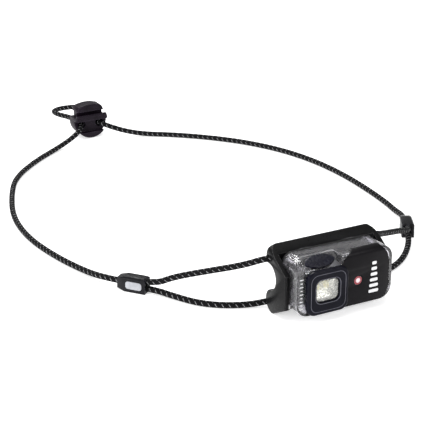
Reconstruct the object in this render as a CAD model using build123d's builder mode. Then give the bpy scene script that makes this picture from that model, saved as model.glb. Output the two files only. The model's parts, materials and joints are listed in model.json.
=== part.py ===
from build123d import *

import os
from math import cos, pi, radians, sin, tan

# A pocket headlamp on a thin elastic cord: a lamp head that tilts in a cradle, a cord band that
# runs from two small yokes through a cord lock, and four short strands from the cradle to the yokes.
#
# Millimetres. The lamp looks along -Y and +Z is up. The origin is under the middle of the cradle
# and lamp head, on the surface that the cradle's foot stands on; the band lies behind the lamp.

# ---- driving dimensions ------------------------------------------------------------------------
# cord and its fits
cord_d = 2.6
cord_play = 0.15
ferrule_t = 0.35
grip_play = 0.02
ferrule_l = 2.0
hole_l = 16.0
seat_l = 14.0
# cradle
cradle_w = 49.0
ear_t = 2.2
ridge_y = -3.75
ridge_low_z = 5.0
knee_z = 19.2
brow_y = 5.7
crown_y = 10.0
crown_z = 27.9
crown_corner = 4.0
rear_y = 10.75
bar_y1 = 9.9
bar_low_z = 7.2
bar_high_z = 20.0
foot_y = 6.2
lobe_r = 5.2
notch_y = 3.5
notch_z = 14.0
rim_soft = 0.4
back_plate_w = 40.0
back_plate_t = 1.8
back_plate_inset = 0.5
crown_drop = 1.6
bar_rise = 1.0
notch_rise = 0.4
foot_toe = 0.5
foot_heel = 0.9
pad_w = 36.0
pad_h = 12.2
pad_corner = 3.0
# lamp head: clear shell, gasket and rear case
head_play = 0.3
head_z = 14.5
head_h = 23.0
head_corner = 5.5
shell_y0 = -8.25
shell_y1 = 3.4
shell_t = 1.1
top_round = 2.0
seal_t = 0.5
case_t = 1.1
case_soft = 0.9
# tilt hinge
tilt_y = -1.75
tilt_z = 6.5
pin_r = 0.9
pin_play = 0.05
pin_reach = 1.8
pin_skin = 0.6
pivot_boss_r = 2.0
washer_r = 2.2
washer_t = 0.6
washer_proud = 0.1
# front panel, bezel and light unit
panel_t = 0.5
panel_x0 = -17.6
panel_x1 = 20.4
panel_z0 = 3.5
panel_low_z1 = 20.9
panel_corner = 5.0
panel_wrap_y = -5.6
bezel_y0 = -10.75
bezel_x = -9.05
bezel_w = 18.7
bezel_z0 = 3.5
bezel_h = 18.6
bezel_corner = 3.6
bezel_soft = 0.8
lens_x = -9.2
lens_z = 13.3
lens_w = 10.0
lens_h = 8.8
lens_t = 1.8
lens_corner = 2.2
fit = 0.12
light_ledge = 0.5
reflector_wall = 0.5
led_size = 1.8
led_t = 0.6
led_pitch = 3.6
led_board_w = 10.4
led_board_h = 9.4
led_board_t = 0.6
red_x = 5.8
red_z = 13.6
red_ring_r = 1.9
red_pipe_r = 1.2
red_led_size = 1.6
red_led_t = 0.8
# power button
button_x = -10.2
button_y = -5.0
button_drop = 2.35
button_lean = 37.4
button_l = 15.0
button_w = 6.0
button_tip = 1.0
button_proud = 0.9
button_play = 0.15
button_travel = 0.6
cap_edge = 0.6
button_lip = 0.35
button_lip_t = 0.5
button_seal_t = 0.5
button_stem_r = 1.2
button_stem_l = 0.35
switch_gap = 0.1
switch_nub_r = 0.8
switch_nub_l = 0.3
switch_w = 3.2
switch_t = 1.0
# electronics
board_y0 = -4.4
board_t = 0.8
board_inset = 2.0
board_low = 1.6
board_high = 7.4
board_notch = 4.6
cell_w = 31.0
cell_low = 1.7
cell_high = 7.5
cell_t = 4.9
cell_gap = 0.7
cell_soft = 1.2
cushion_w = 26.0
cushion_h = 10.0
contact_w = 3.0
contact_h = 2.0
screw_inset = 3.8
screw_drop = 4.0
screw_r = 0.75
screw_l = 6.0
screw_head_r = 1.4
screw_head_t = 0.6
screw_boss_r = 2.4
screw_boss_l = 5.2
# charging port and its cover
port_z = 13.4
port_w = 7.6
port_t = 2.5
port_l = 5.0
port_frame = 2.0
port_wall = 0.3
flap_t = 1.0
flap_h = 8.6
flap_play = 0.15
flap_margin = 0.35
# cord yokes
yoke_l = 12.8
yoke_w = 5.4
yoke_per_cord = 2.5
strand_gap = 0.2
yoke_nose_w = 3.8
yoke_nose_h = 4.6
yoke_taper_l = 3.6
yoke_soft = 0.7
yoke_socket_l = 4.2
yoke_run_in = 3.6
yoke_run_out = 5.0
yoke_nose_l = 3.0
band_z = 3.2
crimp_t = 0.5
crimp_l = 3.6
crimp_end_play = 0.2
# cord lock
lock_x = 1.0
lock_y0 = 232.25
lock_depth = 9.5
lock_r = 9.0
lock_h = 12.4
lock_shoulder_drop = 1.6
lock_rim_t = 1.6
lock_scoop = 2.6
lock_scoop_z0 = 3.2
lock_scoop_z1 = 9.6
lock_web = 1.0
lock_room_t = 4.1
lock_room_hw = 7.25
lock_floor = 1.3
lock_wall = 0.8
lock_edge = 0.6
lock_bore_x = 5.0
lock_bore_z = 7.2
lock_bore_play = 0.35
lock_mouth_play = 1.0
plunger_play = 0.15
plunger_z0 = 4.2
plunger_press = 1.6
window_play = 0.4
cap_t = 7.4
cap_hw = 7.4
cap_top_hw = 6.3
cap_side_h = 2.4
cap_h = 3.5
cap_soft = 0.8
cap_play = 0.1
spring_r = 1.15
spring_wire_r = 0.2
spring_turns = 6
spring_play = 0.1
spring_top_z = 12.0

# ---- sizes that follow from them ---------------------------------------------------------------
cord_r = cord_d / 2
hole_r = cord_r + cord_play
ferrule_r = cord_r + ferrule_t
ear_in = cradle_w / 2 - ear_t
head_x = ear_in - head_play
head_z0 = head_z - head_h / 2
head_z1 = head_z + head_h / 2
button_z = head_z1 - button_drop
screw_x = head_x - screw_inset
screw_rise = head_h / 2 - screw_drop
board_w = 2 * (head_x - board_inset)
board_z0 = head_z0 + board_low
board_z1 = head_z1 - board_high
cell_z0 = head_z0 + cell_low
cell_h = head_h - cell_low - cell_high
yoke_h = yoke_per_cord * cord_d
strand_low_z = (yoke_h - cord_d - strand_gap) / 2
strand_high_z = strand_low_z + cord_d + strand_gap
crown_slope = (crown_z - knee_z) / (crown_y - ridge_y)
lobe_y = rear_y - lobe_r
plate_y0 = bar_y1 - back_plate_t - back_plate_inset
plate_y1 = plate_y0 + back_plate_t
case_y0 = shell_y1 + seal_t
case_y1 = case_y0 + case_t
room_y0 = shell_y0 + shell_t
room_x = head_x - shell_t
panel_y0 = shell_y0 - panel_t
board_y1 = board_y0 + board_t
led_board_y0 = board_y0 - led_board_t
cell_y0 = board_y1 + cell_gap
cell_y1 = cell_y0 + cell_t
port_y = board_y0 - port_t / 2
flap_y0 = port_y - port_t / 2 - flap_margin
flap_y1 = port_y + port_t / 2 + flap_margin
flap_pivot_x = head_x - flap_t / 2
flap_pivot_z = port_z - flap_h / 2 + flap_t / 2
web_y0 = lock_y0 + lock_scoop
lock_room_y0 = web_y0 + lock_web
lock_room_y1 = lock_room_y0 + lock_room_t
lock_y1 = lock_y0 + lock_depth
lock_room_r = lock_r - lock_wall
left_bore_x = lock_x - lock_bore_x
right_bore_x = lock_x + lock_bore_x
lock_shoulder_z = lock_h - lock_shoulder_drop
window_hw = cord_r + window_play
window_z0 = lock_bore_z - window_hw
window_z1 = lock_bore_z + window_hw + plunger_press
cap_z0 = lock_h + plunger_press + cap_play
mouth_out = cradle_w / 2 + 0.65 * cord_d
left_turn = cradle_w / 2 + 7.3
right_turn = cradle_w / 2 + 9.3

press_plane = Plane(
    origin=(button_x, button_y, button_z),
    x_dir=(1, 0, 0),
    z_dir=(0, -sin(radians(button_lean)), cos(radians(button_lean))),
)

# where each yoke's strand end is, and the level direction from there to its nose
yokes = {
    "left": {"foot": Vector(-58.9, 47.0, 0), "ahead": Vector(-0.62, 0.785, 0)},
    "right": {"foot": Vector(67.3, 43.2, 0), "ahead": Vector(0.48, 0.877, 0)},
}
# where each strand leaves the cradle, and the point inside where it is stopped, for the +X side
strand_mouths = {
    "upper": {"mouth": Vector(cradle_w / 2, 9.0, 22.7), "stop": Vector(cradle_w / 2 - 4.4, 7.9, 23.0)},
    "lower": {"mouth": Vector(18.6, 10.4, 2.9), "stop": Vector(16.07, 8.5, 3.2)},
}


def brow_z(y):
    """Height of the cradle's sloping brow at the depth y."""
    return knee_z + crown_slope * (y - ridge_y)


def front_plane(y):
    """Plane at the depth y that faces forward: its own x and y are the lamp's X and Z."""
    return Plane.XZ.offset(-y)


def side_plane(x):
    """Plane at x that faces +X: its own x and y are the lamp's Y and Z."""
    return Plane.YZ.offset(x)


def mirrored(point):
    """The same point on the -X side."""
    return Vector(-point.X, point.Y, point.Z)


def line_plane(start, end):
    """Plane at start that faces end."""
    return Plane(origin=start, z_dir=(end - start).normalized())


def finish(name, builder):
    """Labels a finished sub-part and writes it to its own file."""
    builder.part.label = name
    export_step(builder.part, f"parts/{name}.step")


def eye(grow):
    """The pointed oval of the power button, with rounded tips, grown all round by grow."""
    half_l = button_l / 2 + grow
    half_w = button_w / 2 + grow
    with BuildSketch() as outline:
        with BuildLine():
            ThreePointArc((-half_l, 0), (0, half_w), (half_l, 0))
            ThreePointArc((half_l, 0), (0, -half_w), (-half_l, 0))
        make_face()
        fillet(outline.vertices(), button_tip)
    return outline.sketch


def stop_line(level, side):
    """The mouth and the stop of one strand in the cradle."""
    ends = strand_mouths[level]
    if side == "left":
        return mirrored(ends["mouth"]), mirrored(ends["stop"])
    return ends["mouth"], ends["stop"]


os.makedirs("parts", exist_ok=True)

# ---- cradle ------------------------------------------------------------------------------------
lobe_join = (lobe_y + lobe_r * cos(radians(50)), lobe_r + lobe_r * sin(radians(50)))
with BuildPart() as cradle:
    for start_x in (-cradle_w / 2, ear_in):
        with BuildSketch(side_plane(start_x)):
            with BuildLine():
                Polyline(
                    (lobe_y, 0),
                    (ridge_y, ridge_low_z),
                    (ridge_y, knee_z),
                    (crown_y, crown_z),
                    (rear_y, crown_z - crown_drop),
                    (rear_y, bar_high_z + notch_rise),
                )
                ThreePointArc((rear_y, bar_high_z + notch_rise), (notch_y, notch_z), lobe_join)
                ThreePointArc(lobe_join, (rear_y, lobe_r), (lobe_y, 0))
            make_face()
        extrude(amount=ear_t)
    # the brow bar and the foot bar
    with BuildSketch(side_plane(-ear_in)):
        with BuildLine():
            Polyline(
                (brow_y, bar_high_z + bar_rise),
                (brow_y, brow_z(brow_y)),
                (crown_y, crown_z),
                (bar_y1, bar_high_z),
                (brow_y + bar_rise, bar_high_z),
                close=True,
            )
        make_face()
        with BuildLine():
            Polyline(
                (foot_y, foot_toe),
                (foot_y + foot_toe, 0),
                (bar_y1 - foot_heel, 0),
                (bar_y1, foot_heel),
                (bar_y1, bar_low_z),
                (foot_y, bar_low_z),
                close=True,
            )
        make_face()
    extrude(amount=2 * ear_in)
    # the plate between the bars
    with BuildSketch(front_plane(plate_y1)):
        with Locations((0, (bar_low_z + bar_high_z) / 2)):
            Rectangle(back_plate_w, bar_high_z - bar_low_z)
    extrude(amount=back_plate_t)
    # the crown's rounded corners, as the front shows them
    with BuildSketch(front_plane(rear_y)):
        with Locations((0, crown_z / 2 - crown_corner)):
            RectangleRounded(cradle_w, crown_z + 2 * crown_corner, crown_corner)
    extrude(amount=rear_y - ridge_y, mode=Mode.INTERSECT)
    # blind holes for the tilt pins and seats for their washers
    for side in (-1, 1):
        with Locations(Location((side * ear_in, tilt_y, tilt_z), (0, 90, 0))):
            Cylinder(pin_r + grip_play, 2 * (ear_t - pin_skin), mode=Mode.SUBTRACT)
            Cylinder(washer_r + grip_play, 2 * (washer_t - washer_proud), mode=Mode.SUBTRACT)
    # a hole for each strand, with a wider seat for its ferrule; both are longer than the metal there
    for level in strand_mouths:
        for side in yokes:
            mouth, stop = stop_line(level, side)
            with Locations(line_plane(mouth, stop).location):
                Cylinder(hole_r, hole_l, mode=Mode.SUBTRACT)
            with Locations(line_plane(stop, mouth).location):
                seat = (Align.CENTER, Align.CENTER, Align.MAX)
                Cylinder(ferrule_r + grip_play, seat_l, align=seat, mode=Mode.SUBTRACT)
    # a soft rim round the outside of each ear
    rims = cradle.edges().filter_by(GeomType.LINE).filter_by(Plane.YZ)
    rims = rims.filter_by(lambda edge: abs(abs(edge.center().X) - cradle_w / 2) < 0.01)
    rims = rims.filter_by(lambda edge: edge.bounding_box().max.Z < knee_z + grip_play)
    rims = rims.filter_by(lambda edge: edge.length > ridge_low_z)
    chamfer(rims, rim_soft)
finish("cradle", cradle)

with BuildPart() as forehead_pad:
    with BuildSketch(front_plane(rear_y)):
        with Locations((0, (bar_low_z + bar_high_z) / 2)):
            RectangleRounded(pad_w, pad_h, pad_corner)
    extrude(amount=rear_y - plate_y1)
finish("forehead_pad", forehead_pad)

with BuildPart() as tilt_pins:
    for side in (-1, 1):
        pin_out = cradle_w / 2 - pin_skin
        pin_in = ear_in - pin_reach
        with Locations(Location((side * (pin_out + pin_in) / 2, tilt_y, tilt_z), (0, 90, 0))):
            Cylinder(pin_r, pin_out - pin_in)
finish("tilt_pins", tilt_pins)

with BuildPart() as friction_washers:
    for side in (-1, 1):
        washer_x = side * (ear_in - washer_proud + washer_t / 2)
        with Locations(Location((washer_x, tilt_y, tilt_z), (0, 90, 0))):
            Cylinder(washer_r, washer_t)
            Cylinder(pin_r + pin_play, washer_t, mode=Mode.SUBTRACT)
finish("friction_washers", friction_washers)

with BuildPart() as strand_ferrules:
    for level in strand_mouths:
        for side in yokes:
            mouth, stop = stop_line(level, side)
            with Locations(line_plane(stop, mouth).location):
                seat = (Align.CENTER, Align.CENTER, Align.MAX)
                Cylinder(ferrule_r, ferrule_l, align=seat)
                Cylinder(cord_r + grip_play, ferrule_l, align=seat, mode=Mode.SUBTRACT)
finish("strand_ferrules", strand_ferrules)

# ---- lamp head: clear shell --------------------------------------------------------------------
# the room inside the shell, with its top front corner filled behind the power button
seat_w = button_l + 1.5
lean_slope = tan(radians(button_lean))
facet_top_y = button_y + (head_z1 - button_z) / lean_slope
facet_low_z = button_z + (shell_y0 - button_y) * lean_slope
facet_wall_y = shell_t / sin(radians(button_lean))
facet_wall_z = shell_t / cos(radians(button_lean))
with BuildPart() as shell_room:
    with BuildSketch(front_plane(shell_y1)):
        with Locations((0, head_z)):
            RectangleRounded(2 * room_x, head_h - 2 * shell_t, head_corner - shell_t)
    extrude(amount=shell_y1 - room_y0)
    with BuildSketch(side_plane(button_x - seat_w / 2 - shell_t)):
        with BuildLine():
            Polyline(
                (shell_y0, facet_low_z - facet_wall_z),
                (facet_top_y + facet_wall_y, head_z1),
                (shell_y0, head_z1),
                close=True,
            )
        make_face()
    extrude(amount=seat_w + 2 * shell_t, mode=Mode.SUBTRACT)
    with Locations((head_x, board_y0 - grip_play, port_z)):
        frame_box = (2 * (shell_t + port_frame), board_y0 - shell_y0, flap_h + 2)
        Box(*frame_box, align=(Align.CENTER, Align.MAX, Align.CENTER), mode=Mode.SUBTRACT)

with BuildPart() as clear_shell:
    with BuildSketch(side_plane(-head_x)):
        with BuildLine():
            round_y = shell_y0 + top_round
            round_z = head_z1 - top_round
            Polyline((round_y, head_z1), (shell_y1, head_z1), (shell_y1, head_z0), (shell_y0, head_z0),
                     (shell_y0, round_z))
            CenterArc((round_y, round_z), top_round, 90, 90)
        make_face()
    extrude(amount=2 * head_x)
    with BuildSketch(front_plane(shell_y1)):
        with Locations((0, head_z)):
            RectangleRounded(2 * head_x, head_h, head_corner)
    extrude(amount=shell_y1 - shell_y0, mode=Mode.INTERSECT)
    with BuildSketch(press_plane):
        Rectangle(seat_w, 12)
    extrude(amount=8, mode=Mode.SUBTRACT)
    add(shell_room.part, mode=Mode.SUBTRACT)
    # screw bosses and pivot bosses
    with BuildSketch(front_plane(shell_y1)):
        with Locations((0, head_z)):
            with GridLocations(2 * screw_x, 2 * screw_rise, 2, 2):
                Circle(screw_boss_r)
    extrude(amount=screw_boss_l)
    for side in (-1, 1):
        with Locations(Location((side * (head_x - 1.2), tilt_y, tilt_z), (0, 90, 0))):
            Cylinder(pivot_boss_r, 2.2)
    with BuildSketch(front_plane(shell_y1)):
        with Locations((0, head_z)):
            with GridLocations(2 * screw_x, 2 * screw_rise, 2, 2):
                Circle(screw_r + grip_play)
    extrude(amount=screw_l - seal_t - case_t, mode=Mode.SUBTRACT)
    for side in (-1, 1):
        with Locations(Location((side * head_x, tilt_y, tilt_z), (0, 90, 0))):
            Cylinder(pin_r + pin_play, 2 * (pin_reach - head_play + 0.2), mode=Mode.SUBTRACT)
    # openings for the button, the light, the red light and the charging port
    with BuildSketch(press_plane):
        add(eye(button_play))
    extrude(amount=-1.5 * shell_t, mode=Mode.SUBTRACT)
    with BuildSketch(front_plane(room_y0)):
        with Locations((lens_x, lens_z)):
            RectangleRounded(lens_w - 2 * light_ledge, lens_h - 2 * light_ledge, lens_corner - light_ledge)
        with Locations((red_x, red_z)):
            Circle(red_pipe_r + fit)
    extrude(amount=shell_t, mode=Mode.SUBTRACT)
    with Locations((head_x, port_y, port_z)):
        Box(2 * (shell_t + port_frame), port_t + 2 * port_wall, port_w + 2 * port_wall, mode=Mode.SUBTRACT)
    flap_room = (2 * (flap_t + 0.05), flap_y1 - flap_y0 + 2 * flap_play, flap_h + 2 * flap_play)
    with Locations((head_x, (flap_y0 + flap_y1) / 2, port_z)):
        Box(*flap_room, mode=Mode.SUBTRACT)
    with Locations((head_x, (flap_y0 + flap_y1) / 2, flap_pivot_z - flap_t / 2)):
        Box(flap_t, flap_room[1], 2 * (flap_play + 0.2), mode=Mode.SUBTRACT)
finish("clear_shell", clear_shell)

with BuildPart() as case_seal:
    with BuildSketch(front_plane(case_y0)):
        with Locations((0, head_z)):
            RectangleRounded(2 * head_x, head_h, head_corner)
            RectangleRounded(2 * room_x, head_h - 2 * shell_t, head_corner - shell_t, mode=Mode.SUBTRACT)
    extrude(amount=seal_t)
finish("case_seal", case_seal)

with BuildPart() as rear_case:
    with BuildSketch(front_plane(case_y1)):
        with Locations((0, head_z)):
            RectangleRounded(2 * head_x, head_h, head_corner)
    extrude(amount=case_t)
    fillet(rear_case.faces().sort_by(Axis.Y)[-1].edges(), case_soft)
    with BuildSketch(front_plane(case_y1)):
        with Locations((0, head_z)):
            with GridLocations(2 * screw_x, 2 * screw_rise, 2, 2):
                Circle(screw_r + pin_play)
    extrude(amount=case_t, mode=Mode.SUBTRACT)
    with BuildSketch(front_plane(case_y1)):
        with Locations((0, head_z)):
            with GridLocations(2 * screw_x, 2 * screw_rise, 2, 2):
                Circle(screw_head_r + pin_play)
    extrude(amount=screw_head_t, mode=Mode.SUBTRACT)
finish("rear_case", rear_case)

with BuildPart() as case_screws:
    with BuildSketch(front_plane(case_y1)):
        with Locations((0, head_z)):
            with GridLocations(2 * screw_x, 2 * screw_rise, 2, 2):
                Circle(screw_head_r)
    extrude(amount=screw_head_t)
    with BuildSketch(front_plane(case_y1)):
        with Locations((0, head_z)):
            with GridLocations(2 * screw_x, 2 * screw_rise, 2, 2):
                Circle(screw_r)
    extrude(amount=screw_l)
    with BuildSketch(front_plane(case_y1)):
        with Locations((0, head_z)):
            with GridLocations(2 * screw_x, 2 * screw_rise, 2, 2):
                RegularPolygon(0.5 * screw_head_r, 6)
    extrude(amount=0.6 * screw_head_t, mode=Mode.SUBTRACT)
finish("case_screws", case_screws)

# ---- front panel, bezel and light unit ---------------------------------------------------------
with BuildPart() as front_panel:
    with BuildSketch(side_plane(panel_x0)):
        with BuildLine():
            inner = top_round
            outer = top_round + panel_t
            Line((shell_y0, panel_z0), (shell_y0, round_z))
            CenterArc((round_y, round_z), inner, 180, -90)
            Polyline((round_y, head_z1), (panel_wrap_y, head_z1), (panel_wrap_y, head_z1 + panel_t),
                     (round_y, head_z1 + panel_t))
            CenterArc((round_y, round_z), outer, 90, 90)
            Polyline((panel_y0, round_z), (panel_y0, panel_z0), (shell_y0, panel_z0))
        make_face()
    extrude(amount=panel_x1 - panel_x0)
    # its outline from the front: low beside the button, then up a curve to the top edge
    rise_x = button_x + seat_w / 2 + 0.3
    with BuildSketch(front_plane(shell_y1)):
        with BuildLine():
            Line((rise_x - 1.0, panel_low_z1), (panel_x0, panel_low_z1))
            Polyline((panel_x0, panel_low_z1), (panel_x0, panel_z0), (panel_x1 - panel_corner, panel_z0))
            CenterArc((panel_x1 - panel_corner, panel_z0 + panel_corner), panel_corner, -90, 90)
            Line((panel_x1, panel_z0 + panel_corner), (panel_x1, head_z1 - 1.4 * panel_corner))
            ThreePointArc(
                (panel_x1, head_z1 - 1.4 * panel_corner),
                (panel_x1 - 1.7, head_z1 - 2.2),
                (panel_x1 - panel_corner, head_z1 + 2 * panel_t),
            )
            Line((panel_x1 - panel_corner, head_z1 + 2 * panel_t), (rise_x + 6.6, head_z1 + 2 * panel_t))
            ThreePointArc(
                (rise_x + 6.6, head_z1 + 2 * panel_t),
                (rise_x + 2.6, head_z1 - 1.2),
                (rise_x - 1.0, panel_low_z1),
            )
        make_face()
    extrude(amount=shell_y1 - panel_y0, mode=Mode.INTERSECT)
    with BuildSketch(front_plane(shell_y0)):
        with Locations((lens_x, lens_z)):
            RectangleRounded(lens_w + 2 * fit, lens_h + 2 * fit, lens_corner + fit)
        with Locations((red_x, red_z)):
            Circle(red_ring_r + fit)
    extrude(amount=panel_t, mode=Mode.SUBTRACT)
finish("front_panel", front_panel)

with BuildPart() as lens_bezel:
    with BuildSketch(front_plane(panel_y0)):
        with Locations((bezel_x, bezel_z0 + bezel_h / 2)):
            RectangleRounded(bezel_w, bezel_h, bezel_corner)
    extrude(amount=panel_y0 - bezel_y0)
    fillet(lens_bezel.faces().sort_by(Axis.Y)[0].edges(), bezel_soft)
    with BuildSketch(front_plane(panel_y0)):
        with Locations((lens_x, lens_z)):
            RectangleRounded(lens_w + 2 * fit, lens_h + 2 * fit, lens_corner + fit)
    extrude(amount=panel_y0 - bezel_y0, mode=Mode.SUBTRACT)
    mouth_rim = lens_bezel.faces().sort_by(Axis.Y)[0].inner_wires()[0].edges()
    chamfer(mouth_rim, bezel_soft)
finish("lens_bezel", lens_bezel)

with BuildPart() as beam_lens:
    with BuildSketch(front_plane(shell_y0 - grip_play)):
        with Locations((lens_x, lens_z)):
            RectangleRounded(lens_w, lens_h, lens_corner)
    extrude(amount=lens_t)
    fillet(beam_lens.faces().sort_by(Axis.Y)[0].edges(), 0.4)
finish("beam_lens", beam_lens)

led_board_y1 = board_y0
reflector_y0 = room_y0 + grip_play
with BuildPart() as reflector:
    with BuildSketch(front_plane(led_board_y0)):
        with Locations((lens_x, lens_z)):
            RectangleRounded(led_board_w, led_board_h, lens_corner)
    extrude(amount=led_board_y0 - reflector_y0)
    with BuildSketch(front_plane(led_board_y0)):
        with Locations((lens_x, lens_z)):
            RectangleRounded(led_pitch + led_size + 0.4, led_size + 0.8, 0.4)
    with BuildSketch(front_plane(reflector_y0)):
        with Locations((lens_x, lens_z)):
            RectangleRounded(led_board_w - 2 * reflector_wall, led_board_h - 2 * reflector_wall, 0.4)
    loft(mode=Mode.SUBTRACT)
finish("reflector", reflector)

with BuildPart() as led_board:
    with BuildSketch(front_plane(led_board_y1)):
        with Locations((lens_x, lens_z)):
            Rectangle(led_board_w, led_board_h)
    extrude(amount=led_board_t)
finish("led_board", led_board)

with BuildPart() as white_leds:
    with BuildSketch(front_plane(led_board_y0)):
        with Locations((lens_x, lens_z)):
            with GridLocations(led_pitch, 0, 2, 1):
                Rectangle(led_size, led_size)
    extrude(amount=led_t)
finish("white_leds", white_leds)

with BuildPart() as red_led:
    with BuildSketch(front_plane(board_y0)):
        with Locations((red_x, red_z)):
            Rectangle(red_led_size, red_led_size)
    extrude(amount=red_led_t)
finish("red_led", red_led)

with BuildPart() as red_window:
    with BuildSketch(front_plane(shell_y0 - grip_play)):
        with Locations((red_x, red_z)):
            Circle(red_ring_r)
    extrude(amount=panel_t)
    with BuildSketch(front_plane(board_y0 - red_led_t - 0.2)):
        with Locations((red_x, red_z)):
            Circle(red_pipe_r)
    extrude(amount=board_y0 - red_led_t - 0.2 - shell_y0 + panel_t / 2)
    fillet(red_window.faces().sort_by(Axis.Y)[0].edges(), 0.2)
finish("red_window", red_window)

# ---- circuit, cell and charging port -----------------------------------------------------------
with BuildPart() as circuit_board:
    with BuildSketch(front_plane(board_y1)):
        with Locations((0, (board_z0 + board_z1) / 2)):
            RectangleRounded(board_w, board_z1 - board_z0, 1.0)
        for side in (-1, 1):
            with Locations((side * board_w / 2, board_z0)):
                Rectangle(2 * board_notch, 2 * board_notch, mode=Mode.SUBTRACT)
    extrude(amount=board_t)
finish("circuit_board", circuit_board)

lip_under = shell_t + button_seal_t + button_play + button_lip_t
nub_top = -(lip_under + button_stem_l + button_travel + switch_gap)
switch_top = nub_top - switch_nub_l
with BuildPart() as tact_switch:
    with BuildSketch(press_plane.offset(switch_top)):
        Rectangle(switch_w, switch_w)
    extrude(amount=-switch_t)
    with BuildSketch(press_plane.offset(switch_top)):
        Circle(switch_nub_r)
    extrude(amount=switch_nub_l)
    with Locations((button_x, board_y1 + 0.25, board_z1 - 0.6)):
        Box(switch_w - 0.6, 0.5, 3.0)
finish("tact_switch", tact_switch)

with BuildPart() as battery_cell:
    with BuildSketch(front_plane(cell_y1)):
        with Locations((0, cell_z0 + cell_h / 2)):
            RectangleRounded(cell_w, cell_h, cell_soft)
    extrude(amount=cell_t)
finish("battery_cell", battery_cell)

with BuildPart() as cell_contacts:
    with BuildSketch(front_plane(cell_y0)):
        with Locations((6.0, cell_z0 + cell_h - contact_h)):
            with GridLocations(3 * contact_w, 0, 2, 1):
                Rectangle(contact_w, contact_h)
    extrude(amount=cell_gap)
finish("cell_contacts", cell_contacts)

with BuildPart() as cell_cushion:
    with BuildSketch(front_plane(case_y0)):
        with Locations((0, cell_z0 + cell_h / 2)):
            RectangleRounded(cushion_w, cushion_h, cell_soft)
    extrude(amount=case_y0 - cell_y1)
finish("cell_cushion", cell_cushion)

port_x1 = head_x - flap_t - 0.1
with BuildPart() as charging_port:
    with Locations((port_x1 - port_l / 2, port_y, port_z)):
        Box(port_l, port_t, port_w)
    with Locations((port_x1, port_y, port_z)):
        Box(2 * (port_l - 0.6), port_t - 0.7, port_w - 0.7, mode=Mode.SUBTRACT)
    with Locations((port_x1 - port_l / 2, port_y, port_z)):
        Box(port_l - 1.0, 0.6, port_w - 2.2)
finish("charging_port", charging_port)

with BuildPart() as port_flap:
    with BuildSketch(front_plane(flap_y1)):
        with Locations((flap_pivot_x, flap_pivot_z)):
            Circle(flap_t / 2)
        with Locations((flap_pivot_x, (flap_pivot_z + port_z + flap_h / 2) / 2)):
            Rectangle(flap_t, port_z + flap_h / 2 - flap_pivot_z)
    extrude(amount=flap_y1 - flap_y0)
finish("port_flap", port_flap)

# ---- power button ------------------------------------------------------------------------------
press_axis = Axis(press_plane.origin, press_plane.z_dir)
lip_z = -(shell_t + button_seal_t + button_play)
with BuildPart() as power_button:
    with BuildSketch(press_plane.offset(lip_z)):
        add(eye(0))
    extrude(amount=button_proud - lip_z)
    fillet(power_button.faces().sort_by(press_axis)[-1].edges(), cap_edge)
    with BuildSketch(press_plane.offset(lip_z)):
        add(eye(button_lip))
    extrude(amount=-button_lip_t)
    with BuildSketch(press_plane.offset(lip_z - button_lip_t)):
        Circle(button_stem_r)
    extrude(amount=-button_stem_l)
finish("power_button", power_button)

with BuildPart() as button_seal:
    with BuildSketch(press_plane.offset(-shell_t)):
        add(eye(button_lip))
        add(eye(button_play), mode=Mode.SUBTRACT)
    extrude(amount=-button_seal_t)
finish("button_seal", button_seal)

# ---- cord yokes --------------------------------------------------------------------------------
yoke_web = yoke_l - yoke_nose_l - crimp_l - crimp_end_play
for side, place in yokes.items():
    foot = place["foot"]
    ahead = place["ahead"].normalized()
    plan = Plane(origin=foot, x_dir=ahead, z_dir=(0, 0, 1))
    flank = Plane(origin=foot, x_dir=ahead, z_dir=ahead.cross(Vector(0, 0, 1)))
    strand_end = Plane(origin=foot, x_dir=plan.y_dir, z_dir=ahead)
    nose_end = Plane(origin=foot + ahead * yoke_l, x_dir=-plan.y_dir, z_dir=-ahead)
    with BuildPart() as yoke:
        with BuildSketch(plan):
            with BuildLine():
                Polyline(
                    (0, -yoke_w / 2),
                    (yoke_l - yoke_taper_l, -yoke_w / 2),
                    (yoke_l, -yoke_nose_w / 2),
                    (yoke_l, yoke_nose_w / 2),
                    (yoke_l - yoke_taper_l, yoke_w / 2),
                    (0, yoke_w / 2),
                    close=True,
                )
            make_face()
        extrude(amount=yoke_h)
        chamfer(yoke.edges().group_by(Axis.Z)[-1], yoke_soft)
        with BuildSketch(flank):
            with BuildLine():
                Polyline(
                    (0, 0),
                    (yoke_l - yoke_taper_l, 0),
                    (yoke_l, band_z - yoke_nose_h / 2),
                    (yoke_l, band_z + yoke_nose_h / 2),
                    (yoke_l - yoke_taper_l, yoke_h),
                    (0, yoke_h),
                    close=True,
                )
            make_face()
        extrude(amount=yoke_w, both=True, mode=Mode.INTERSECT)
        with BuildSketch(strand_end):
            with Locations((0, (strand_low_z + strand_high_z) / 2)):
                SlotOverall(strand_high_z - strand_low_z + 2 * hole_r, 2 * hole_r, rotation=90)
        extrude(amount=yoke_socket_l, mode=Mode.SUBTRACT)
        with BuildSketch(nose_end):
            with Locations((0, band_z)):
                Circle(hole_r)
        extrude(amount=yoke_l - yoke_web, mode=Mode.SUBTRACT)
        with BuildSketch(nose_end.offset(yoke_nose_l)):
            with Locations((0, band_z)):
                Circle(cord_r + crimp_t + 2 * grip_play)
        extrude(amount=crimp_l + crimp_end_play, mode=Mode.SUBTRACT)
    finish(f"yoke_{side}", yoke)
    with BuildPart() as yoke_crimp:
        with BuildSketch(nose_end.offset(yoke_nose_l)):
            with Locations((0, band_z)):
                Circle(cord_r + crimp_t + grip_play)
                Circle(cord_r + grip_play, mode=Mode.SUBTRACT)
        extrude(amount=crimp_l)
    finish(f"yoke_{side}_crimp", yoke_crimp)

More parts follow.
